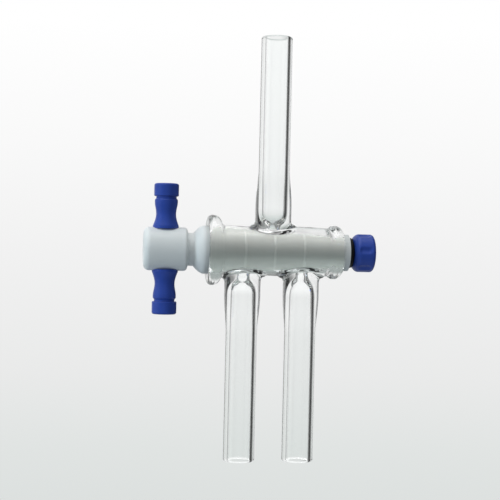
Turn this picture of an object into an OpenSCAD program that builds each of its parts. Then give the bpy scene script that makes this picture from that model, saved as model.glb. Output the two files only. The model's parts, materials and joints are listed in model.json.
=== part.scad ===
// Three-way glass stopcock.
// A clear glass barrel carries one arm above it and two below it. A tapered
// plug turns in the barrel and joins the top arm to one lower arm at a time.
// A washer, a sealing ring and a nut on the plug's threaded tail hold it in.
// The origin is the centre of the top arm's mouth. +Z points out of that
// mouth, and +X runs along the barrel from the handle to the nut.

/* [Arms] */
// Outside diameter of each arm
arm_d = 12; // [11:0.5:13]
// Glass wall of each arm
arm_wall = 1.75; // [1.5:0.25:2.5]
// Height of the top arm's mouth above the barrel's axis
top_reach = 82.5; // [60:0.5:120]
// Depth of the lower arms' mouths below the barrel's axis
low_reach = 80.8; // [60:0.1:120]
// Distance along the barrel from the top arm to each lower arm
arm_offset = 11.4; // [11:0.1:12]
// Rounding of the fire-polished edges at each arm's mouth
lip_round = 0.45; // [0.2:0.05:0.6]

/* [Seals] */
// How far the foot of each arm swells beyond the arm, on the radius
foot_swell = 1.05; // [0.5:0.05:1.2]
// Width of the foot across the barrel, where it is pressed flat front and back
foot_press_w = 12.8; // [12.4:0.1:14]
// Distance from the barrel's axis to where the foot starts to narrow
foot_start = 17; // [15:0.5:19]
// Length over which the foot narrows to the arm
foot_taper = 15; // [12:0.5:18]
// Diameter of the fused collar round each foot
collar_d = 17.8; // [16:0.1:19]
// Height of the fused collar above the barrel's surface
collar_h = 0.8; // [0.4:0.1:1.2]
// Distance from the barrel's axis to the domed end of each arm's bore
dome_level = 9.7; // [9.5:0.1:12]
// Length over which the top arm's bore closes to its domed end
top_dome_len = 7; // [4:0.5:10]
// Length over which each lower arm's bore closes to its domed end
low_dome_len = 8; // [4:0.5:10]
// Diameter of the flow passage through the glass and the plug
port_d = 4; // [3:0.25:4.5]

/* [Barrel] */
// Length of the barrel from its wide end to its narrow end
barrel_len = 52.6; // [52:0.2:56]
// Distance from the wide end to the top arm's axis
barrel_lead = 25.4; // [25:0.2:27]
// Bore diameter at the wide end
bore_big_d = 18.4; // [17.8:0.1:18.8]
// Length of bore over which its diameter narrows by 1 mm
bore_taper = 8.5; // [8:0.25:10]
// Outside diameter next to the wide rim
shell_big_d = 20; // [19.8:0.1:21]
// Outside diameter next to the narrow rim
shell_small_d = 18.5; // [18:0.1:19.5]
// Outside diameter of the wide rim
big_rim_d = 27; // [25:0.1:30]
// Width of the wide rim along the barrel
big_rim_w = 5.4; // [5:0.1:6]
// Rounding of the wide rim
big_rim_round = 1.7; // [1:0.1:2.4]
// Outside diameter of the narrow rim
small_rim_d = 20.7; // [20.2:0.1:22]
// Width of the narrow rim along the barrel
small_rim_w = 5; // [4.8:0.1:6.5]
// Rounding of the narrow rim's nose, next to the washer
nose_round = 3; // [2.2:0.1:3.5]
// Rounding of the narrow rim on the side of the arms
heel_round = 1.2; // [0.6:0.1:1.3]

/* [Plug] */
// Running clearance between the plug and the bore, on the radius
plug_gap = 0.04; // [0.02:0.01:0.08]
// Distance from the plug's narrow end to the washer
plug_setback = 0.4; // [0.2:0.1:1]
// Distance that the plug's taper goes on outside the barrel, to its wide end
plug_standout = 1.1; // [0.3:0.1:3]
// Length of the bell-shaped flare between the neck and the wide end
flare_len = 4.2; // [2.5:0.1:5]
// Diameter of the neck
neck_d = 12.6; // [11:0.2:14]
// Length of the neck
neck_len = 2.3; // [2:0.1:5]
// Diameter of the head
head_d = 16.6; // [16:0.2:18]
// Length of the head
head_len = 16.6; // [15:0.2:19]
// Rounding of the head's outer end
head_round = 2.2; // [1:0.1:2.4]
// Rounding of the head's end by the neck
head_heel = 1.3; // [0.6:0.1:1.6]
// Distance from the plug's axis to each flat that a handle arm stands on
seat_level = 7.75; // [7.6:0.05:7.9]
// Diameter of the threaded tail
tail_d = 8; // [7:0.25:9]
// Depth of the tail's end inside the nut
tail_inset = 1.1; // [0.5:0.1:2]
// Depth of the flat along the tail
flat_depth = 0.8; // [0.5:0.1:1.2]

/* [Handle] */
// Length of the handle from cap to cap
handle_len = 49.8; // [46:0.2:56]
// Diameter of each arm's foot on the head
handle_foot_d = 9.9; // [9:0.1:10.2]
// Height of the plain band round each foot
handle_foot_h = 1; // [0.6:0.1:1.4]
// Diameter of the waist
waist_d = 7.6; // [7:0.1:8.4]
// Distance from the plug's axis to the waist
waist_level = 13.3; // [12:0.1:14]
// Diameter of the shoulder under the groove
shoulder_d = 8.8; // [8.5:0.1:9.2]
// Height of the shoulder's plain band
shoulder_h = 0.6; // [0.4:0.1:1]
// Diameter at the bottom of the groove
groove_d = 7.8; // [7.2:0.1:8.2]
// Width of the groove at its mouth
groove_w = 1.4; // [1:0.1:1.8]
// Diameter of the cap
cap_d = 9.4; // [9:0.1:10]
// Length of the cap
cap_len = 4.9; // [3.5:0.1:5.5]
// Rounding of the cap's end
cap_round = 0.8; // [0.4:0.1:1.2]
// Diameter of the cross hole through the head
cross_d = 6; // [5.5:0.1:6.5]
// Diameter of the spigot that joins the two handle arms
spigot_d = 3.4; // [3:0.1:3.8]
// Depth of the free space past the spigot's end
spigot_relief = 1; // [0.5:0.1:2]

/* [Washer, ring and nut] */
// Diameter of the washer
washer_d = 14.2; // [13.2:0.1:15]
// Thickness of the washer
washer_t = 2.2; // [1.5:0.1:3]
// Thickness of the sealing ring's cord
ring_t = 1.8; // [1.3:0.1:2]
// Free space on either side of the washer and of the sealing ring
stack_gap = 0.03; // [0.02:0.01:0.05]
// Diameter of the nut
nut_d = 14.7; // [13.5:0.1:16]
// Length of the nut
nut_len = 8.2; // [7:0.1:10]
// Bevel of the nut's end by the sealing ring
nut_bevel = 1.7; // [1:0.1:1.8]
// Rounding of the nut's outer end
nut_round = 1.3; // [0.6:0.1:1.6]
// Angle that the nut stands turned through when it is tight
nut_turned = 9; // [0:1:60]
// Number of finger flutes round the nut
flute_count = 6; // [4:1:8]
// Radius of each flute
flute_r = 1.5; // [1.25:0.25:4]
// Length of each flute's straight middle, between its rounded ends
flute_hold = 2.4; // [1.2:0.2:3]
// Depth of each flute
flute_depth = 0.6; // [0.3:0.1:0.9]
// Clearance of every plain fit on the tail and in the head, on the radius
fit_gap = 0.05; // [0.03:0.01:0.08]

/* [Hidden] */
$fn = 96;

GLASS = [0.86, 0.93, 0.94, 0.35];
PTFE = [0.93, 0.94, 0.93];
BLUE = [0.11, 0.18, 0.56];
BLACK = [0.05, 0.05, 0.06];

// steps in each turned curve of the feet, the domes, the flare and the handle
curve_steps = 10;

arm_r = arm_d / 2;
bore_r = arm_r - arm_wall;
wide_end = -barrel_lead;
narrow_end = barrel_len - barrel_lead;

plug_wide_end = wide_end - plug_standout;
plug_narrow_end = narrow_end - plug_setback;
flare_end = plug_wide_end - flare_len;
head_heel_x = flare_end - neck_len;
head_x = head_heel_x - head_len / 2;
head_end = head_heel_x - head_len;

washer_start = narrow_end + stack_gap;
ring_start = washer_start + washer_t + stack_gap;
nut_start = ring_start + ring_t + stack_gap;
nut_end = nut_start + nut_len;
tail_end = nut_end - tail_inset;
tail_hole_r = tail_d / 2 + fit_gap;

// Radius of the tapered bore at a place along the barrel
function bore_r_at(x) = (bore_big_d - (x - wide_end) / bore_taper) / 2;
// Radius of the plug's taper at the same place
function plug_r_at(x) = bore_r_at(x) - plug_gap;

// Places its children on the barrel's axis, with their Z axis along the barrel
module along_barrel() {
    translate([0, 0, -top_reach])
        rotate([0, 90, 0])
            children();
}

// Places its children where the barrel's axis meets the top arm's axis
module at_barrel() {
    translate([0, 0, -top_reach])
        children();
}

// Half section of a turned band from start to end, with its two outer corners rounded
module rounded_band(start, end, r, start_round, end_round) {
    translate([0, start + start_round])
        square([r, end - start - start_round - end_round]);
    translate([0, start])
        square([r - start_round, start_round]);
    translate([0, end - end_round])
        square([r - end_round, end_round]);
    translate([r - start_round, start + start_round])
        circle(start_round);
    translate([r - end_round, end - end_round])
        circle(end_round);
}

// Half section of the barrel's outer shell, grown outwards by an amount
module shell_section(grow) {
    small_rim_start = narrow_end - small_rim_w;
    big_rim_end = wide_end + big_rim_w;
    polygon([
        [0, wide_end + big_rim_round],
        [shell_big_d / 2 + grow, wide_end + big_rim_round],
        [shell_big_d / 2 + grow, big_rim_end],
        [shell_small_d / 2 + grow, small_rim_start],
        [shell_small_d / 2 + grow, small_rim_start + heel_round],
        [0, small_rim_start + heel_round]
    ]);
}

// The barrel before it is bored: the shell with a rolled rim at each end
module barrel_blank() {
    along_barrel()
        rotate_extrude() {
            shell_section(0);
            rounded_band(wide_end, wide_end + big_rim_w, big_rim_d / 2, big_rim_round, big_rim_round);
            rounded_band(narrow_end - small_rim_w, narrow_end, small_rim_d / 2, heel_round, nose_round);
        }
}

// Outside of one arm, from the barrel's axis to its rounded mouth
module arm_blank(reach) {
    rotate_extrude() {
        square([arm_r, reach - lip_round]);
        square([arm_r - lip_round, reach]);
        translate([arm_r - lip_round, reach - lip_round])
            circle(lip_round);
    }
}

// Half section of an arm's foot: a plain band at the barrel, then an easy curve in to the arm
module foot_section() {
    foot_curve = [
        for (i = [0 : curve_steps])
            let (t = i / curve_steps)
            [arm_r + foot_swell * (1 + cos(180 * t)) / 2, foot_start + foot_taper * t]
    ];
    polygon(concat([[0, 0], [arm_r + foot_swell, 0]], foot_curve, [[0, foot_start + foot_taper]]));
}

// The fused foot and collar of an arm that stands at shift along the barrel.
// The collar follows the barrel's curve
module arm_foot(shift) {
    intersection() {
        union() {
            rotate_extrude()
                foot_section();
            intersection() {
                cylinder(d = collar_d, h = foot_start);
                translate([-shift, 0, top_reach])
                    along_barrel()
                        rotate_extrude()
                            shell_section(collar_h);
            }
        }
        translate([-collar_d, -foot_press_w / 2, 0])
            cube([2 * collar_d, foot_press_w, foot_start + foot_taper]);
    }
}

// Everything outside on one arm that stands at shift along the barrel
module arm_outside(shift, reach) {
    translate([shift, 0, 0]) {
        arm_blank(reach);
        arm_foot(shift);
    }
}

// Half section of an arm's bore, from its domed end to past its mouth
module bore_section(reach, dome_len) {
    dome_curve = [
        for (i = [0 : curve_steps])
            let (t = 90 * i / curve_steps)
            [bore_r * sin(t), dome_level + dome_len * (1 - cos(t))]
    ];
    polygon(concat(dome_curve, [[bore_r, reach + bore_r], [0, reach + bore_r]]));
}

// The hollow of one arm: port, domed end, bore and rounded mouth
module arm_hollow(shift, reach, dome_len) {
    translate([shift, 0, 0]) {
        cylinder(d = port_d, h = dome_level + dome_len);
        rotate_extrude()
            bore_section(reach, dome_len);
        translate([0, 0, reach - lip_round])
            mouth_flare();
    }
}

// Rounds the inside edge of an arm's mouth
module mouth_flare() {
    rotate_extrude()
        difference() {
            square([bore_r + lip_round, lip_round * 2]);
            translate([bore_r + lip_round, 0])
                circle(lip_round);
        }
}

// One arm stands up from the barrel and two hang down from it
module each_arm_outside() {
    arm_outside(0, top_reach);
    rotate([180, 0, 0])
        for (side = [-1, 1])
            arm_outside(side * arm_offset, low_reach);
}

module each_arm_hollow() {
    arm_hollow(0, top_reach, top_dome_len);
    rotate([180, 0, 0])
        for (side = [-1, 1])
            arm_hollow(side * arm_offset, low_reach, low_dome_len);
}

// Barrel and three arms, fused in one piece of glass
module glass_body() {
    color(GLASS)
        difference() {
            union() {
                barrel_blank();
                at_barrel()
                    each_arm_outside();
            }
            at_barrel()
                each_arm_hollow();
            along_barrel()
                translate([0, 0, wide_end])
                    cylinder(r1 = bore_r_at(wide_end), r2 = bore_r_at(narrow_end), h = barrel_len);
        }
}

// Half section of the turned plug: head, neck, flare, taper and tail
module plug_section() {
    flare_rise = plug_r_at(plug_wide_end) - neck_d / 2;
    flare_curve = [
        for (i = [0 : curve_steps])
            let (t = i / curve_steps)
            [neck_d / 2 + flare_rise * sin(90 * t), flare_end + flare_len * t]
    ];
    rounded_band(head_end, head_heel_x, head_d / 2, head_round, head_heel);
    polygon(concat(
        [[0, head_heel_x - head_heel], [neck_d / 2, head_heel_x - head_heel]],
        flare_curve,
        [
            [plug_r_at(plug_narrow_end), plug_narrow_end],
            [tail_d / 2, plug_narrow_end],
            [tail_d / 2, tail_end],
            [0, tail_end]
        ]
    ));
}

// One slanting passage, from a port on the top side to one on the lower side.
// shift is where its middle lies along the barrel
module slant_passage(shift) {
    slant = atan(arm_offset / (2 * bore_r_at(shift)));
    translate([shift, 0, 0])
        rotate([0, slant, 0])
            cylinder(d = port_d, h = 2 * bore_big_d, center = true);
}

// Cuts a flat where each handle arm stands on the head
module handle_seats() {
    for (side = [-1, 1])
        translate([head_x, 0, side * (seat_level + head_d / 2)])
            cylinder(d = handle_foot_d + 2 * fit_gap, h = head_d, center = true);
}

// The plug, turned from one piece
module plug() {
    color(PTFE)
        difference() {
            along_barrel()
                rotate_extrude()
                    plug_section();
            at_barrel() {
                for (side = [-1, 1])
                    slant_passage(side * arm_offset / 2);
                handle_seats();
                translate([head_x, 0, 0])
                    cylinder(d = cross_d, h = head_d, center = true);
                tail_flat(0);
            }
        }
}

// The space over the flat that runs along the tail, kept back by a clearance
module tail_flat(gap) {
    flat_level = tail_d / 2 - flat_depth + gap;
    translate([plug_narrow_end, -tail_d, flat_level])
        cube([nut_end - plug_narrow_end, 2 * tail_d, tail_d]);
}

// Half section of a handle arm's outside, from its foot to its cap
module handle_section() {
    foot_top = seat_level + handle_foot_h;
    cap_top = handle_len / 2;
    cap_start = cap_top - cap_len;
    shoulder_top = cap_start - groove_w;
    shoulder_start = shoulder_top - shoulder_h;
    foot_curve = [
        for (i = [0 : curve_steps])
            let (t = i / curve_steps)
            [
                (waist_d + (handle_foot_d - waist_d) * (1 - sin(90 * t))) / 2,
                foot_top + (waist_level - foot_top) * t
            ]
    ];
    shoulder_curve = [
        for (i = [1 : curve_steps])
            let (t = i / curve_steps)
            [
                (waist_d + (shoulder_d - waist_d) * (1 - cos(180 * t)) / 2) / 2,
                waist_level + (shoulder_start - waist_level) * t
            ]
    ];
    polygon(concat(
        [[0, seat_level], [handle_foot_d / 2, seat_level]],
        foot_curve,
        shoulder_curve,
        [
            [shoulder_d / 2, shoulder_top],
            [groove_d / 2, shoulder_top + groove_w / 2],
            [cap_d / 2 - cap_round, cap_start],
            [cap_d / 2 - cap_round, cap_start + cap_round],
            [0, cap_start + cap_round]
        ]
    ));
    rounded_band(cap_start, cap_top, cap_d / 2, cap_round / 2, cap_round);
}

// Upper handle arm, with the spigot that reaches down into the lower one
module handle_upper() {
    color(BLUE)
        at_barrel()
            translate([head_x, 0, 0]) {
                rotate_extrude()
                    handle_section();
                translate([0, 0, spigot_relief - seat_level])
                    cylinder(d = spigot_d, h = 2 * seat_level - spigot_relief);
            }
}

// Lower handle arm, with the sleeve that fills the cross hole round the spigot
module handle_lower() {
    sleeve_len = 2 * seat_level - spigot_relief;
    color(BLUE)
        at_barrel()
            translate([head_x, 0, 0])
                rotate([180, 0, 0])
                    difference() {
                        union() {
                            rotate_extrude()
                                handle_section();
                            translate([0, 0, spigot_relief - seat_level])
                                cylinder(r = cross_d / 2 - fit_gap, h = sleeve_len);
                        }
                        translate([0, 0, -seat_level])
                            cylinder(r = spigot_d / 2 + fit_gap, h = 2 * seat_level);
                    }
}

// Washer keyed to the tail's flat, between the glass and the sealing ring
module washer() {
    color(PTFE)
        difference() {
            along_barrel()
                translate([0, 0, washer_start])
                    cylinder(d = washer_d, h = washer_t);
            difference() {
                along_barrel()
                    translate([0, 0, washer_start])
                        cylinder(r = tail_hole_r, h = 3 * washer_t, center = true);
                at_barrel()
                    tail_flat(fit_gap);
            }
        }
}

// Sealing ring on the tail, held between the washer and the nut
module o_ring() {
    color(BLACK)
        along_barrel()
            translate([0, 0, ring_start + ring_t / 2])
                rotate_extrude()
                    translate([tail_hole_r + ring_t / 2, 0])
                        circle(d = ring_t);
}

// Hollow of one finger flute, closed at both ends
module flute_cut() {
    cylinder(r = flute_r, h = flute_hold, center = true);
    for (side = [-1, 1])
        translate([0, 0, side * flute_hold / 2])
            sphere(r = flute_r);
}

// Nut on the threaded tail, which draws the plug into the taper
module nut() {
    flute_axis = nut_d / 2 - flute_depth + flute_r;
    color(BLUE)
        along_barrel()
            difference() {
                rotate_extrude() {
                    rounded_band(nut_start + nut_bevel, nut_end, nut_d / 2, nut_round / 2, nut_round);
                    polygon([
                        [0, nut_start],
                        [nut_d / 2 - nut_bevel, nut_start],
                        [nut_d / 2, nut_start + nut_bevel],
                        [nut_d / 2, nut_end - nut_round],
                        [0, nut_end - nut_round]
                    ]);
                }
                translate([0, 0, nut_start])
                    cylinder(r = tail_hole_r, h = 3 * nut_len, center = true);
                for (i = [0 : flute_count - 1])
                    rotate([0, 0, (i + 0.5) * 360 / flute_count - nut_turned])
                        translate([flute_axis, 0, (nut_start + nut_end) / 2])
                            flute_cut();
            }
}

glass_body();
plug();
handle_upper();
handle_lower();
washer();
o_ring();
nut();
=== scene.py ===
"""Looks of the three-way glass stopcock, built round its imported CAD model.

The frame's origin is the centre of the top arm's mouth and its unit is the metre.
The glass is shaped in millimetres, from the point where the barrel's axis crosses
the top arm's axis: x along the barrel, y away from the viewer, z up.
"""
import json
import math

import bpy
import numpy as np
from mathutils import Matrix, Vector


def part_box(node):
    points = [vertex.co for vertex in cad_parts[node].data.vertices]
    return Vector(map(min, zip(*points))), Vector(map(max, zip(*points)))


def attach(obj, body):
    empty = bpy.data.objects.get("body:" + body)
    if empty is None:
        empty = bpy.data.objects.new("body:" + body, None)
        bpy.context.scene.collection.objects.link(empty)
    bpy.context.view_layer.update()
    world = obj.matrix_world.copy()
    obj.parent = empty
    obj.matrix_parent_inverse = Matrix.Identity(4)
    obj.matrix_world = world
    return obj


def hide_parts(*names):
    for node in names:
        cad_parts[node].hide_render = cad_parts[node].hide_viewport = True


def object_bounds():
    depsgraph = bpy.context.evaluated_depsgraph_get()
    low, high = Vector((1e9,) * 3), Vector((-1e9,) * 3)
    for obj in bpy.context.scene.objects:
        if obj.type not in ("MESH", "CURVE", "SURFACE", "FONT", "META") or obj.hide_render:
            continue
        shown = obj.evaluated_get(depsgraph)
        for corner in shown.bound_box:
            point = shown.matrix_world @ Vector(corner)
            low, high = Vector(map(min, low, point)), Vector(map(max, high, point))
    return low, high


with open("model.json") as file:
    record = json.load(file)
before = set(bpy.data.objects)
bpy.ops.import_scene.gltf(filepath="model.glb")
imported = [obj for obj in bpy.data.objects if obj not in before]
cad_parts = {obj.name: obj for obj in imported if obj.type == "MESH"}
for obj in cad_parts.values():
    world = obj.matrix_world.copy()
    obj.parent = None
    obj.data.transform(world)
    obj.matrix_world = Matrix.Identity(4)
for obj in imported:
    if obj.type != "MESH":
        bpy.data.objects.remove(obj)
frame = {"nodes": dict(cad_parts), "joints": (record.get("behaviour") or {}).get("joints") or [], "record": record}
cad_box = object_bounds()

MM = 0.001

# ------------------------------------------------------------------ places from the frame

mounts = {mount["name"]: mount for mount in frame["record"]["mounts"]}
joints = {joint["name"]: joint for joint in frame["joints"]}
nodes = frame["nodes"]

crossing = Vector(joints["plug_turn"]["pos_m"])


def from_crossing(point_m):
    """A point of the frame, in millimetres from the crossing."""
    return (Vector(point_m) - crossing) / MM


def node_box(name):
    low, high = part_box(name)
    return from_crossing(low), from_crossing(high)


glass_low, glass_high = node_box("glass_body")
nut_low, nut_high = node_box("nut")
WIDE_END = glass_low.x
NARROW_END = glass_high.x
RIM_R = glass_high.y
ARM_R = mounts["top_arm"]["dims"]["r_mm"]
BORE_R = mounts["top_arm_bore"]["dims"]["r_mm"]
TOP_REACH = glass_high.z
LOW_REACH = -glass_low.z
ARM_SHIFT = from_crossing(mounts["right_arm"]["pos_m"]).x


def dome_base(bore_name):
    """Distance from the barrel's axis to where an arm's straight bore ends."""
    bore = mounts[bore_name]
    return abs(from_crossing(bore["pos_m"]).z) - bore["dims"]["length_mm"]


TOP_DOME_BASE = dome_base("top_arm_bore")
LOW_DOME_BASE = dome_base("left_arm_bore")

# ------------------------------------------------------------------ glass: driving sizes

BORE_WIDE_R = 9.2
BORE_TAPER = 8.5
SHELL_WIDE_R = 9.9
SHELL_NARROW_R = 9.2
SHELL_WAVE = 0.3
SHELL_WAVE_LEN = 43.0
SHELL_WAVE_START = -9.7
WIDE_SHELL_INSET = 2.0
NARROW_SHELL_INSET = 3.0
WIDE_RIM_W = 5.4
WIDE_RIM_ROUND = 1.7
WIDE_RIM_BACK = 3.2
NARROW_RIM_R = 10.35
NARROW_RIM_W = 5.0
NOSE_ROUND = 3.0
HEEL_ROUND = 1.2
RIM_FILLET = 1.6
BORE_EDGE_ROUND = 0.5
LIP_ROUND = 0.7
FOOT_START = 17.0
FOOT_TAPER = 15.0
FOOT_TOP = FOOT_START + FOOT_TAPER
FOOT_SWELL_X = 1.0
FOOT_SWELL_Y = 0.35
SEAL_FILLET = 2.6
COLLAR_X = 8.7
TOP_COLLAR_Y = 6.3
LOW_COLLAR_Y = 4.8
COLLAR_H = 0.6
COLLAR_ROUND = 0.5
COLLAR_START = 3.0
DOME_LEVEL = 9.2
LEFT_DOME_LEVEL = 11.0
BLUNT_DOME = 2.5
ROUND_DOME = 2.0
PORT_R = 2.0
PORT_MELT = 0.8
HOLLOW_MELT = 0.3
FLAME_MARK = 0.02
FLAME_R = 10.5
FLAME_REACH = 4.0

# ------------------------------------------------------------------ nut: driving sizes

NUT_R = nut_high.z
NUT_HOLE_R = 4.05
NUT_BEVEL = 1.7
NUT_ROUND = 1.3
NUT_HEEL_ROUND = 0.6
NUT_HOLE_ROUND = 0.25
NUT_TURNED = math.radians(9)
FLUTE_COUNT = 6
FLUTE_R = 1.5
FLUTE_DEPTH = 0.6
FLUTE_EDGE = 0.5
FLUTE_HOLD = 2.4


# ------------------------------------------------------------------ shape formulas


def smooth_union(a, b, width):
    """Joins two solids, given as signed distances, with a fillet about as wide as width."""
    share = np.clip(0.5 + 0.5 * (b - a) / width, 0, 1)
    return b + (a - b) * share - width * share * (1 - share)


def round_meet(a, b, radius):
    """The part that two solids share, with the edge between them rounded."""
    over_a = np.maximum(a + radius, 0)
    over_b = np.maximum(b + radius, 0)
    return np.minimum(np.maximum(a, b), -radius) + np.hypot(over_a, over_b)


def turned_band(x, r, start, end, band_r, start_round, end_round):
    """A disc turned about the barrel's axis, with its two outer corners rounded."""
    middle = (start + end) / 2
    radius = np.where(x < middle, start_round, end_round)
    over_x = np.abs(x - middle) - (end - start) / 2 + radius
    over_r = r - band_r + radius
    corner = np.hypot(np.maximum(over_x, 0), np.maximum(over_r, 0))
    return np.minimum(np.maximum(over_x, over_r), 0) + corner - radius


def shell_radius(x):
    """Outside radius of the barrel, which waves a little where the arms were sealed on."""
    share = (x - WIDE_END) / (NARROW_END - WIDE_END)
    wave = SHELL_WAVE * np.cos(math.tau * (x - SHELL_WAVE_START) / SHELL_WAVE_LEN)
    return SHELL_WIDE_R + (SHELL_NARROW_R - SHELL_WIDE_R) * share - wave


def barrel_outside(x, y, z):
    r = np.hypot(y, z)
    past_shell = np.maximum(WIDE_END + WIDE_SHELL_INSET - x, x - NARROW_END + NARROW_SHELL_INSET)
    shell = np.maximum(r - shell_radius(x), past_shell)
    wide_rim = turned_band(
        x, r, WIDE_END, WIDE_END + WIDE_RIM_W, RIM_R, WIDE_RIM_ROUND, WIDE_RIM_BACK
    )
    narrow_rim = turned_band(
        x, r, NARROW_END - NARROW_RIM_W, NARROW_END, NARROW_RIM_R, HEEL_ROUND, NOSE_ROUND
    )
    return smooth_union(smooth_union(shell, wide_rim, RIM_FILLET), narrow_rim, RIM_FILLET)


def plug_bore(x, y, z):
    radius = BORE_WIDE_R - (x - WIDE_END) / BORE_TAPER / 2
    return np.hypot(y, z) - radius


def oval(x, y, half_x, half_y):
    """Distance to an upright oval cylinder, near its surface."""
    return (np.hypot(x / half_x, y / half_y) - 1) * np.sqrt(half_x * half_y)


def arm_outside(x, y, h, reach):
    """One arm, h along it from the barrel's axis, with its swollen foot."""
    share = np.clip((h - FOOT_START) / FOOT_TAPER, 0, 1)
    swell = (1 + np.cos(math.pi * share)) / 2
    wall = oval(x, y, ARM_R + FOOT_SWELL_X * swell, ARM_R + FOOT_SWELL_Y * swell)
    return np.maximum(round_meet(wall, h - reach, LIP_ROUND), -h)


def collar(x, y, h, shift, half_y):
    """The saucer of glass where an arm is sealed on the barrel."""
    saddle = np.hypot(y, h) - shell_radius(x + shift) - COLLAR_H
    ring = oval(x, y, COLLAR_X, half_y)
    return np.maximum(round_meet(saddle, ring, COLLAR_ROUND), COLLAR_START - h)


def arm_hollow(x, y, h, base, level, power):
    """The bore of one arm, with its domed end and the port into the barrel.

    The dome goes from base down to level. A power of 2 makes it an ellipse, and a
    higher one makes it blunter.
    """
    r = np.hypot(x, y)
    into_dome = np.maximum(base - h, 0) * BORE_R / (base - level)
    bore = (r**power + into_dome**power) ** (1 / power) - BORE_R
    port = np.maximum(r - PORT_R, np.maximum(h - base, -h))
    return smooth_union(bore, port, PORT_MELT)


def flame_marks(x, y, z):
    """How far the flame has drawn the surface in, round the seals."""
    near = np.exp(-(((np.hypot(y, z) - FLAME_R) / FLAME_REACH) ** 2))
    waves = np.sin(0.8 * x + 0.5 * z + 1.1) * np.sin(0.7 * y - 0.3 * x + 0.4)
    return FLAME_MARK * near * (1.5 + waves)


# Each arm's place along the barrel, its side (1 up, -1 down), its reach and collar's
# half width, then its dome: where that starts, where it ends and its power
ARMS = [
    (0.0, 1, TOP_REACH, TOP_COLLAR_Y, TOP_DOME_BASE, DOME_LEVEL, BLUNT_DOME),
    (-ARM_SHIFT, -1, LOW_REACH, LOW_COLLAR_Y, LOW_DOME_BASE, LEFT_DOME_LEVEL, BLUNT_DOME),
    (ARM_SHIFT, -1, LOW_REACH, LOW_COLLAR_Y, LOW_DOME_BASE, DOME_LEVEL, ROUND_DOME),
]


def glass(x, y, z):
    """Signed distance to the whole glass body, negative inside the glass."""
    outside = barrel_outside(x, y, z)
    hollow = plug_bore(x, y, z)
    for shift, up, reach, collar_y, *dome in ARMS:
        place = x - shift, y, up * z
        outside = smooth_union(outside, arm_outside(*place, reach), SEAL_FILLET)
        outside = smooth_union(outside, collar(*place, shift, collar_y), COLLAR_ROUND)
        hollow = smooth_union(hollow, arm_hollow(*place, *dome), HOLLOW_MELT)
    outside = outside + flame_marks(x, y, z)
    return round_meet(outside, -hollow, BORE_EDGE_ROUND)


def nut(x, y, z):
    """Signed distance to the nut: a bevelled band with soft finger flutes and a hole."""
    r = np.hypot(y, z)
    band = turned_band(x, r, nut_low.x, nut_high.x, NUT_R, NUT_HEEL_ROUND, NUT_ROUND)
    bevel = (nut_low.x + NUT_BEVEL - x + r - NUT_R) * math.sqrt(0.5)
    body = round_meet(band, bevel, FLUTE_EDGE)
    past_end = np.maximum(np.abs(x - (nut_low.x + nut_high.x) / 2) - FLUTE_HOLD / 2, 0)
    reach = NUT_R - FLUTE_DEPTH + FLUTE_R
    for i in range(FLUTE_COUNT):
        turn = math.tau * (i + 0.5) / FLUTE_COUNT - NUT_TURNED
        across = np.hypot(y - reach * math.sin(turn), z + reach * math.cos(turn))
        body = round_meet(body, FLUTE_R - np.hypot(across, past_end), FLUTE_EDGE)
    return round_meet(body, NUT_HOLE_R - r, NUT_HOLE_ROUND)


# ------------------------------------------------------------------ mesh of a formula

# Cells of the grids, and how far each grid is shifted to keep it off flat faces
GLASS_CELL = 0.42
ARM_CELL = 1.0
LIP_CELL = 0.28
LIP_ZONE = 3.0
GLASS_GRID_SHIFT = (0.013, 0.007)
NUT_CELL = 0.24
NUT_GRID_SHIFT = (0.013, 0.011)
LEAST_SLOPE = 0.05
LONGEST_MOVE = 0.3


def slope_of(solid, points, reach=1e-3):
    """Direction in which the signed distance grows at each point, and how fast."""
    slope = np.empty_like(points)
    for axis in range(3):
        ahead, behind = points.copy(), points.copy()
        ahead[:, axis] += reach
        behind[:, axis] -= reach
        slope[:, axis] = (solid(*ahead.T) - solid(*behind.T)) / (2 * reach)
    return slope


def surface_net(solid, steps):
    """Corners and quads of the surface where solid is zero, on a grid of the given steps."""
    field = solid(*np.meshgrid(*steps, indexing="ij", sparse=True))
    inside = field < 0
    filled = np.zeros([n - 1 for n in field.shape], int)
    for corner in np.ndindex(2, 2, 2):
        filled += inside[tuple(slice(c, c + n) for c, n in zip(corner, filled.shape))]
    cut = (filled > 0) & (filled < 8)
    number = np.full(cut.shape, -1)
    number[cut] = np.arange(cut.sum())
    cells = np.argwhere(cut)

    total = np.zeros((len(cells), 3))
    hits = np.zeros((len(cells), 1))
    for axis in range(3):
        for offset in np.ndindex(2, 2):
            start = cells + np.insert(offset, axis, 0)
            end = start.copy()
            end[:, axis] += 1
            value_0, value_1 = field[tuple(start.T)], field[tuple(end.T)]
            crossed = (value_0 < 0) != (value_1 < 0)
            share = np.where(crossed, value_0 / np.where(crossed, value_0 - value_1, 1), 0)
            place_0 = np.stack([steps[a][start[:, a]] for a in range(3)], 1)
            place_1 = np.stack([steps[a][end[:, a]] for a in range(3)], 1)
            total += crossed[:, None] * (place_0 + share[:, None] * (place_1 - place_0))
            hits += crossed[:, None]
    points = total / hits

    quads = []
    for axis in range(3):
        u, v = (axis + 1) % 3, (axis + 2) % 3
        low = np.take(inside, range(inside.shape[axis] - 1), axis)
        high = np.take(inside, range(1, inside.shape[axis]), axis)
        for leaving in (True, False):
            edges = np.argwhere((low != high) & (low == leaving))
            ring = []
            for du, dv in ((1, 1), (0, 1), (0, 0), (1, 0)):
                cell = edges.copy()
                cell[:, u] -= du
                cell[:, v] -= dv
                ring.append(number[tuple(cell.T)])
            quads.append(np.stack(ring if leaving else ring[::-1], 1))
    return points, np.concatenate(quads)


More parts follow.
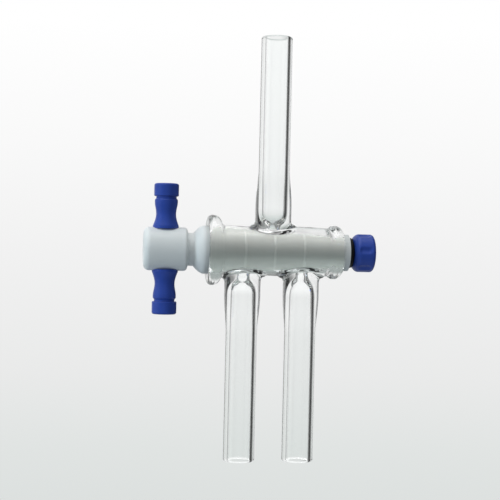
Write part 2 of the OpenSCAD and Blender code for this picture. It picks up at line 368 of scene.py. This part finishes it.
def settle(solid, points, rounds=4):
    """Moves each point on to the surface, and returns the points and outward normals."""
    for _ in range(rounds):
        slope = slope_of(solid, points)
        steep = np.maximum((slope**2).sum(1, keepdims=True), LEAST_SLOPE)
        move = -solid(*points.T)[:, None] * slope / steep
        points = points + np.clip(move, -LONGEST_MOVE, LONGEST_MOVE)
    slope = slope_of(solid, points)
    return points, slope / np.linalg.norm(slope, axis=1, keepdims=True)


def shaped_object(name, solid, steps):
    """A smooth mesh object of solid's surface, found on a grid of the given steps."""
    points, quads = surface_net(solid, steps)
    points, normals = settle(solid, points)
    mesh = bpy.data.meshes.new(name)
    mesh.from_pydata((points * MM + np.array(crossing)).tolist(), [], quads.tolist())
    mesh.shade_smooth()
    mesh.normals_split_custom_set_from_vertices(normals.tolist())
    piece = bpy.data.objects.new(name, mesh)
    bpy.context.scene.collection.objects.link(piece)
    return piece


def arm_levels(reach):
    """Grid levels along an arm beyond its foot: long cells, and short ones at the lip."""
    lip = reach - LIP_ZONE
    straight = np.linspace(FOOT_TOP, lip, round((lip - FOOT_TOP) / ARM_CELL) + 1)
    return np.concatenate([straight[1:], np.arange(lip + LIP_CELL, reach + 1, LIP_CELL)])


def build_glass():
    margin = 2 * GLASS_CELL
    side = RIM_R + margin
    shift_x, shift_y = GLASS_GRID_SHIFT
    steps = [
        np.arange(WIDE_END - margin + shift_x, NARROW_END + margin, GLASS_CELL),
        np.linspace(-side, side, 2 * round(side / GLASS_CELL) + 1) + shift_y,
        np.concatenate([
            -arm_levels(LOW_REACH)[::-1],
            np.linspace(-FOOT_TOP, FOOT_TOP, round(2 * FOOT_TOP / GLASS_CELL) + 1),
            arm_levels(TOP_REACH),
        ]),
    ]
    return shaped_object("glass_body_blown", glass, steps)


def build_nut():
    margin = 2 * NUT_CELL
    side = NUT_R + margin
    shift_x, shift_yz = NUT_GRID_SHIFT
    along = np.arange(nut_low.x - margin + shift_x, nut_high.x + margin, NUT_CELL)
    across = np.arange(-side, side, NUT_CELL) + shift_yz
    return shaped_object("nut_moulded", nut, [along, across, across])


# ------------------------------------------------------------------ materials

GLASS_COLOUR = (0.985, 0.996, 0.993)
# Tint of the lamplight and bounced light that pass the glass: painted shade, which darkens the plug under the
# glass to about half
GLASS_SHADE_TINT = (0.56, 0.555, 0.54)
GLASS_IOR = 1.474
PTFE_COLOUR = (0.79, 0.83, 0.83)
BLUE_COLOUR = (0.022, 0.066, 0.38)
BLACK_COLOUR = (0.008, 0.008, 0.01)
THREAD_PITCH = 1.5
THREAD_DEPTH = 0.9

# Half width of the painted band of light, over a faint raised ring, in each port's plane, as a share of the
# distance between the ports' planes
LIGHT_BAND_HALF = 0.05


class Nodes:
    """A node tree that is written with add(type, inputs, settings).

    An input that is given a socket is linked to it, and any other gets the value.
    """

    def __init__(self, tree):
        self.tree = tree
        tree.nodes.clear()

    def add(self, kind, inputs=None, **settings):
        node = self.tree.nodes.new(kind)
        for key, value in settings.items():
            setattr(node, key, value)
        for key, value in (inputs or {}).items():
            if isinstance(value, bpy.types.NodeSocket):
                self.tree.links.new(value, node.inputs[key])
            else:
                node.inputs[key].default_value = value
        return node


def new_material(name):
    material = bpy.data.materials.new(name)
    material.use_nodes = True
    return material, Nodes(material.node_tree)


def own_place(n):
    """Place on a piece at rest, in metres from the frame's origin."""
    return n.add("ShaderNodeTexCoord").outputs["Object"]


def split(n, vector):
    return n.add("ShaderNodeSeparateXYZ", {"Vector": vector}).outputs


def math_node(n, operation, a, b=0.0, c=0.0):
    return n.add("ShaderNodeMath", {0: a, 1: b, 2: c}, operation=operation).outputs[0]


def scaled(n, colour, factor):
    inputs = {0: colour, "Scale": factor}
    return n.add("ShaderNodeVectorMath", inputs, operation="SCALE").outputs["Vector"]


def map_range(n, value, start, end, low, high, kind="LINEAR"):
    """Goes from low to high while value goes from start to end."""
    return n.add("ShaderNodeMapRange", {
        "Value": value, "From Min": start, "From Max": end, "To Min": low, "To Max": high,
    }, interpolation_type=kind).outputs["Result"]


def step_up(n, value, start, end):
    """Rises smoothly from 0 to 1 while value goes from start to end."""
    return map_range(n, value, start, end, 0, 1, "SMOOTHSTEP")


def colour_ramp(n, value, stops):
    """Colour over value, from a list of (position, colour)."""
    ramp = n.add("ShaderNodeValToRGB", {"Fac": value})
    marks = ramp.color_ramp.elements
    marks[0].position, marks[0].color = stops[0][0], (*stops[0][1], 1)
    marks[1].position, marks[1].color = stops[-1][0], (*stops[-1][1], 1)
    for position, colour in stops[1:-1]:
        marks.new(position).color = (*colour, 1)
    return ramp.outputs["Color"]


def noise(n, place, scale, detail=2.0):
    """Noise between 0 and 1. scale is in turns a metre, along each axis."""
    stretched = n.add("ShaderNodeMapping", {"Vector": place, "Scale": scale})
    return n.add("ShaderNodeTexNoise", {
        "Vector": stretched.outputs["Vector"], "Scale": 1.0, "Detail": detail,
    }).outputs["Fac"]


def bumped(n, height, strength, distance, under=None):
    """Relief of the given height, on top of the relief that is under it."""
    inputs = {"Height": height, "Strength": strength, "Distance": distance}
    if under:
        inputs["Normal"] = under
    return n.add("ShaderNodeBump", inputs).outputs["Normal"]


def mixed(n, share, first, second):
    """Shader that goes from first to second as share goes from 0 to 1."""
    return n.add("ShaderNodeMixShader", {"Fac": share, 1: first, 2: second}).outputs["Shader"]


def glass_material():
    """Clear glass with faint drawn streaks, which lets soft light through to the plug, dimmed to about half as
    painted shade.
    """
    material, n = new_material("borosilicate_glass")
    streaks = noise(n, own_place(n), (60, 200, 26), 1.0)
    clear = n.add("ShaderNodeBsdfPrincipled", {
        "Base Color": (*GLASS_COLOUR, 1),
        "Roughness": 0.0,
        "IOR": GLASS_IOR,
        "Transmission Weight": 1.0,
        "Normal": bumped(n, streaks, 0.04, 0.0002),
    })
    # Painted shade: light that passes the glass to the plug is tinted to about half
    soft = n.add("ShaderNodeBsdfTransparent", {"Color": (*GLASS_SHADE_TINT, 1)})
    path = n.add("ShaderNodeLightPath").outputs
    soft_ray = math_node(n, "MAXIMUM", path["Is Shadow Ray"], path["Is Diffuse Ray"])
    surface = mixed(n, soft_ray, clear.outputs["BSDF"], soft.outputs["BSDF"])
    n.add("ShaderNodeOutputMaterial", {"Surface": surface})
    return material


def plug_light_bands_and_thread(n, place, tone, normal):
    """Adds a painted band of light in each port's plane, with a faint raised ring in its relief, and the thread on
    the tail.
    """
    axes = split(n, place)
    along = math_node(n, "DIVIDE", axes["X"], ARM_SHIFT * MM)
    nearest = math_node(n, "ROUND", along)
    off_plane = math_node(n, "ABSOLUTE", math_node(n, "SUBTRACT", along, nearest))
    at_port = math_node(n, "LESS_THAN", math_node(n, "ABSOLUTE", along), 1.5)
    line = step_up(n, off_plane, LIGHT_BAND_HALF, LIGHT_BAND_HALF / 2)
    ring = math_node(n, "MULTIPLY", line, at_port)
    # Painted light: the plug's tone is lighter in each band across a port's plane
    tone = math_node(n, "MULTIPLY_ADD", ring, 0.16, tone)
    normal = bumped(n, ring, 0.4, 0.0002, normal)

    level = math_node(n, "SUBTRACT", axes["Z"], crossing.z)
    turn = math_node(n, "DIVIDE", math_node(n, "ARCTAN2", level, axes["Y"]), math.tau)
    pitches = math_node(n, "DIVIDE", axes["X"], THREAD_PITCH * MM)
    thread = math_node(n, "PINGPONG", math_node(n, "ADD", pitches, turn), 0.5)
    on_tail = math_node(n, "GREATER_THAN", axes["X"], NARROW_END * MM)
    thread = math_node(n, "MULTIPLY", thread, on_tail)
    return tone, bumped(n, thread, 1.0, THREAD_DEPTH * MM, normal)


def ptfe_material(name, marks=False):
    """White PTFE with the fine rings that a lathe leaves round the barrel's axis.

    marks adds what only the plug has: its painted bands of light with their faint raised rings, and its thread.
    """
    material, n = new_material(name)
    place = own_place(n)
    rings = noise(n, place, (6000, 150, 150))
    cloud = noise(n, place, (240, 240, 240), 3.0)
    normal = bumped(n, rings, 0.25, 0.0001)
    tone = map_range(n, cloud, 0, 1, 0.96, 1.04)
    if marks:
        tone, normal = plug_light_bands_and_thread(n, place, tone, normal)
    shader = n.add("ShaderNodeBsdfPrincipled", {
        "Base Color": scaled(n, PTFE_COLOUR, tone),
        "Roughness": map_range(n, cloud, 0, 1, 0.36, 0.48),
        "Subsurface Weight": 0.2,
        "Subsurface Scale": 0.0015,
        "Subsurface Radius": (1.0, 0.95, 0.9),
        "Normal": normal,
    })
    n.add("ShaderNodeOutputMaterial", {"Surface": shader.outputs["BSDF"]})
    return material


def moulded_material(name, colour, roughness, grain, shine):
    """Moulded plastic or rubber: a fine orange-peel skin and slightly uneven colour."""
    material, n = new_material(name)
    place = own_place(n)
    peel = noise(n, place, (1500, 1500, 1500), 3.0)
    cloud = noise(n, place, (260, 260, 260), 3.0)
    scuff = noise(n, place, (700, 700, 2600))
    shader = n.add("ShaderNodeBsdfPrincipled", {
        "Base Color": scaled(n, colour, map_range(n, cloud, 0, 1, 0.88, 1.12)),
        "Roughness": map_range(n, scuff, 0.3, 0.7, roughness - 0.05, roughness + 0.08),
        "Specular IOR Level": shine,
        "Normal": bumped(n, peel, grain, 0.0001),
    })
    n.add("ShaderNodeOutputMaterial", {"Surface": shader.outputs["BSDF"]})
    return material


# ------------------------------------------------------------------ studio

# Floor and camera, in metres, but for the target: millimetres from the crossing
FLOOR_R = 0.42
FLOOR_DROP = 0.10
FLOOR_CORNERS = 96
CAMERA_AZIMUTH = math.radians(-8)
CAMERA_ROLL = math.radians(1.3)
CAMERA_DISTANCE = 0.4646
CAMERA_TARGET = (-8.731, 0, 0.267)
LENS_MM = 86.976
SENSOR_MM = 36

# Faces of glass on a path of light: two in a wall, four through a whole tube
WALL_FACES = 2.0
ALMOST_A_TUBE = 3.5

CEILING_GLOW = 16.5
# Glow of the floor for what lies under the glass: painted light
FLOOR_GLOW = 3.6
FRONT_SHADE = 0.4

# Two dark screens beside the object: the angles aside that each one covers, and the
# share of the light that it takes away
SCREENS = [
    (math.radians(38), math.radians(62), 0.93),
    (math.radians(-68), math.radians(-46), 0.55),
]
SCREEN_SOFT = math.radians(8)

# Colours of the surroundings, from straight below (0) to straight above (1)
BACKGROUND = [
    (0.33, (0.62, 0.66, 0.65)),
    (0.42, (0.75, 0.775, 0.765)),
    (0.45, (0.82, 0.825, 0.822)),
    (0.5, (0.885, 0.885, 0.885)),
    (0.545, (0.95, 0.95, 0.95)),
    (0.59, (1.0, 1.0, 1.0)),
]
ROOM = [
    (0.0, (0.32, 0.35, 0.34)),
    (0.25, (0.38, 0.41, 0.40)),
    (0.35, (0.60, 0.63, 0.62)),
    (0.42, (0.76, 0.78, 0.77)),
    (0.5, (0.88, 0.88, 0.88)),
    (0.56, (0.92, 0.92, 0.92)),
]
AMBIENT = [
    (0.0, (0.15, 0.19, 0.225)),
    (0.5, (0.38, 0.40, 0.41)),
    (1.0, (0.65, 0.65, 0.65)),
]
GATHERED = [
    (0.0, (0.2, 0.23, 0.23)),
    (0.4, (0.0, 0.0, 0.0)),
    (0.75, (0.0, 0.0, 0.0)),
    (0.85, (0.2, 0.2, 0.2)),
    (0.95, (1.0, 1.0, 1.0)),
]


def under_glass(n, path):
    """1 on a path through one wall of glass, as where the plug is seen in its barrel."""
    return math_node(n, "COMPARE", path["Transmission Depth"], WALL_FACES, 0.5)


def lessened(n, colour, share):
    """A colour with a share of it taken away."""
    return scaled(n, colour, math_node(n, "SUBTRACT", 1.0, share))


def floor_material(radius):
    """Pale floor that fades into the studio's background towards its edge.

    It throws less light back up than it shows, from a darker copy of it that is painted shade.
    The glass shows it as a fixed darker glow, also painted shade, and what lies under the glass gets a bright glow
    from it, which is painted light.
    """
    material, n = new_material("pale_floor")
    distance = n.add("ShaderNodeVectorMath", {0: own_place(n)}, operation="LENGTH")
    pale = n.add("ShaderNodeBsdfDiffuse", {"Color": (0.8, 0.82, 0.82, 1)})
    # Painted shade: a darker copy of the floor for bounced light
    dull = n.add("ShaderNodeBsdfDiffuse", {"Color": (0.34, 0.38, 0.42, 1)})
    # Painted shade: what the glass bends sees the floor as this fixed darker glow
    shade = n.add("ShaderNodeEmission", {"Color": (0.36, 0.40, 0.39, 1), "Strength": 1.0})
    # Painted light: what lies under the glass sees the floor glow brightly, though it is no lamp
    bright = n.add("ShaderNodeEmission", {"Color": (0.9, 1.0, 1.0, 1), "Strength": FLOOR_GLOW})
    clear = n.add("ShaderNodeBsdfTransparent")

    path = n.add("ShaderNodeLightPath").outputs
    shallow = math_node(n, "LESS_THAN", path["Transmission Depth"], ALMOST_A_TUBE)
    bent = math_node(n, "MULTIPLY", path["Is Transmission Ray"], shallow)
    gathering = math_node(n, "MULTIPLY", under_glass(n, path), path["Is Diffuse Ray"])
    edge = step_up(n, distance.outputs["Value"], 0.35 * radius, radius)
    surface = mixed(n, path["Is Diffuse Ray"], pale.outputs[0], dull.outputs[0])
    surface = mixed(n, bent, surface, shade.outputs[0])
    surface = mixed(n, gathering, surface, bright.outputs[0])
    surface = mixed(n, edge, surface, clear.outputs[0])
    n.add("ShaderNodeOutputMaterial", {"Surface": surface})
    return material


def between(n, value, low, high, soft):
    """1 between low and high, fading to 0 over soft on either side."""
    rise = step_up(n, value, low - soft / 2, low + soft / 2)
    return math_node(n, "MULTIPLY", rise, step_up(n, value, high + soft / 2, high - soft / 2))


def soft_light(n, axes, height, path):
    """What lights dull surfaces: a dim sky, brighter on the left.

    What lies under the glass gets what the glass gathers instead, from a bright strip
    overhead that runs along the barrel, and a little from below.
    """
    sky = colour_ramp(n, height, AMBIENT)
    sky = scaled(n, sky, map_range(n, axes["X"], -1, 1, 1.05, 0.6))
    off_ridge = math_node(n, "ABSOLUTE", axes["Y"])
    strip = map_range(n, off_ridge, 0.1, 0.45, CEILING_GLOW, 0.0, "SMOOTHSTEP")
    gathered = scaled(n, colour_ramp(n, height, GATHERED), strip)
    return n.add("ShaderNodeMix", {
        "Factor": under_glass(n, path), 6: sky, 7: gathered,
    }, data_type="RGBA").outputs[2]


def room_beside(n, axes, height, path):
    """What glass and gloss show: the room, darker behind the camera and at the screens."""
    room = colour_ramp(n, height, ROOM)
    aside = math_node(n, "ARCTAN2", axes["X"], math_node(n, "ABSOLUTE", axes["Y"]))
    upright = step_up(n, math_node(n, "ABSOLUTE", axes["Z"]), 0.6, 0.25)
    shade = 0.0
    for low, high, share in SCREENS:
        screen = between(n, aside, low, high, SCREEN_SOFT)
        shade = math_node(n, "MULTIPLY_ADD", screen, share, shade)
    room = lessened(n, room, math_node(n, "MULTIPLY", shade, upright))
    room = scaled(n, room, map_range(n, axes["Y"], -0.2, -0.9, 1.0, FRONT_SHADE, "SMOOTHSTEP"))
    dim_right = map_range(n, axes["X"], 0.2, 0.5, 0.0, 0.7)
    return lessened(n, room, math_node(n, "MULTIPLY", dim_right, path["Is Glossy Ray"]))


def build_world():
    """Pale studio: white above, light grey below.

    The camera sees the background, also straight through a tube. What the glass bends
    or mirrors is the room beside it. All other rays bring in the soft light.
    """
    world = bpy.data.worlds.new("studio")
    bpy.context.scene.world = world
    world.use_nodes = True
    n = Nodes(world.node_tree)
    axes = split(n, n.add("ShaderNodeTexCoord").outputs["Generated"])
    height = map_range(n, axes["Z"], -1, 1, 0, 1)
    path = n.add("ShaderNodeLightPath").outputs

    mirrored = math_node(n, "GREATER_THAN", path["Glossy Depth"], 0.5)
    through = math_node(n, "GREATER_THAN", path["Transmission Depth"], ALMOST_A_TUBE)
    straight = math_node(n, "MULTIPLY", through, math_node(n, "SUBTRACT", 1.0, mirrored))
    straight = math_node(n, "MULTIPLY", straight, path["Is Transmission Ray"])
    straight = math_node(n, "MAXIMUM", straight, path["Is Camera Ray"])
    bent = math_node(n, "MAXIMUM", path["Is Glossy Ray"], path["Is Transmission Ray"])

    soft = n.add("ShaderNodeBackground", {"Color": soft_light(n, axes, height, path)})
    beside = n.add("ShaderNodeBackground", {"Color": room_beside(n, axes, height, path)})
    behind = n.add("ShaderNodeBackground", {
        "Color": colour_ramp(n, height, BACKGROUND),
        "Strength": map_range(n, path["Is Transmission Ray"], 0, 1, 1.0, 1.05),
    })
    surface = mixed(n, bent, soft.outputs[0], beside.outputs[0])
    surface = mixed(n, straight, surface, behind.outputs[0])
    n.add("ShaderNodeOutputWorld", {"Surface": surface})


def aim(item, target):
    """Points an object's -Z axis at target, with its Y axis up."""
    item.rotation_euler = (Vector(target) - item.location).to_track_quat("-Z", "Y").to_euler()


def add_light(name, offset, size, power, colour=(1, 1, 1), mirrored=True):
    """A soft rectangular lamp at an offset from the crossing, turned towards it.

    Where mirrored is false, gloss and glass don't show the lamp's own shape.
    """
    lamp = bpy.data.lights.new(name, "AREA")
    lamp.shape = "RECTANGLE"
    lamp.size, lamp.size_y = size
    lamp.energy = power
    lamp.color = colour
    item = bpy.data.objects.new(name, lamp)
    item.location = crossing + Vector(offset)
    bpy.context.scene.collection.objects.link(item)
    aim(item, crossing)
    item.visible_camera = False
    item.visible_transmission = False
    item.visible_glossy = mirrored


def build_floor():
    """A round floor below the arms' mouths."""
    rim = [math.tau * i / FLOOR_CORNERS for i in range(FLOOR_CORNERS)]
    points = [(FLOOR_R * math.cos(turn), FLOOR_R * math.sin(turn), 0) for turn in rim]
    mesh = bpy.data.meshes.new("floor")
    mesh.from_pydata(points, [], [list(range(FLOOR_CORNERS))])
    floor = bpy.data.objects.new("floor", mesh)
    floor.location = (crossing.x, crossing.y, cad_box[0][2] - FLOOR_DROP)
    bpy.context.scene.collection.objects.link(floor)
    floor.data.materials.append(floor_material(FLOOR_R))


def build_camera():
    """Camera a little to the handle's side, level with the barrel, and slightly rolled."""
    lens = bpy.data.cameras.new("camera")
    lens.sensor_width = SENSOR_MM
    lens.lens = LENS_MM
    lens.clip_start, lens.clip_end = 0.01, 20
    camera = bpy.data.objects.new("camera", lens)
    back = Vector((math.sin(CAMERA_AZIMUTH), -math.cos(CAMERA_AZIMUTH), 0))
    camera.location = crossing + Vector(CAMERA_TARGET) * MM + back * CAMERA_DISTANCE
    turn = (-back).to_track_quat("-Z", "Y").to_matrix() @ Matrix.Rotation(CAMERA_ROLL, 3, "Z")
    camera.rotation_euler = turn.to_euler()
    bpy.context.scene.collection.objects.link(camera)
    bpy.context.scene.camera = camera


# ------------------------------------------------------------------ assembly

build_camera()
build_world()
build_floor()
add_light("overhead_softbox", (-0.2, -0.1, 0.8), (0.6, 0.9), 2.9)
add_light(
    "side_softbox", (-0.8, -0.32, 0.1), (0.25, 0.7), 2.7, (0.8, 0.93, 1.0), mirrored=False
)

glass_piece = build_glass()
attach(glass_piece, "barrel")
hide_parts("glass_body")
glass_piece.data.materials.append(glass_material())

ptfe = ptfe_material("ptfe")
blue = moulded_material("blue_plastic", BLUE_COLOUR, 0.36, 0.12, 0.34)
rubber = moulded_material("black_rubber", BLACK_COLOUR, 0.5, 0.3, 0.15)

nut_piece = build_nut()
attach(nut_piece, "nut")
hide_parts("nut")
nut_piece.data.materials.append(blue)

for name, material in (
    ("plug", ptfe_material("ptfe_plug", marks=True)), ("washer", ptfe),
    ("handle_upper", blue), ("handle_lower", blue), ("o_ring", rubber),
):
    nodes[name].data.materials.clear()
    nodes[name].data.materials.append(material)

scene = bpy.context.scene
scene.view_settings.view_transform = "Standard"
scene.cycles.max_bounces = 24
scene.cycles.transmission_bounces = 20
scene.cycles.glossy_bounces = 8
scene.cycles.transparent_max_bounces = 24
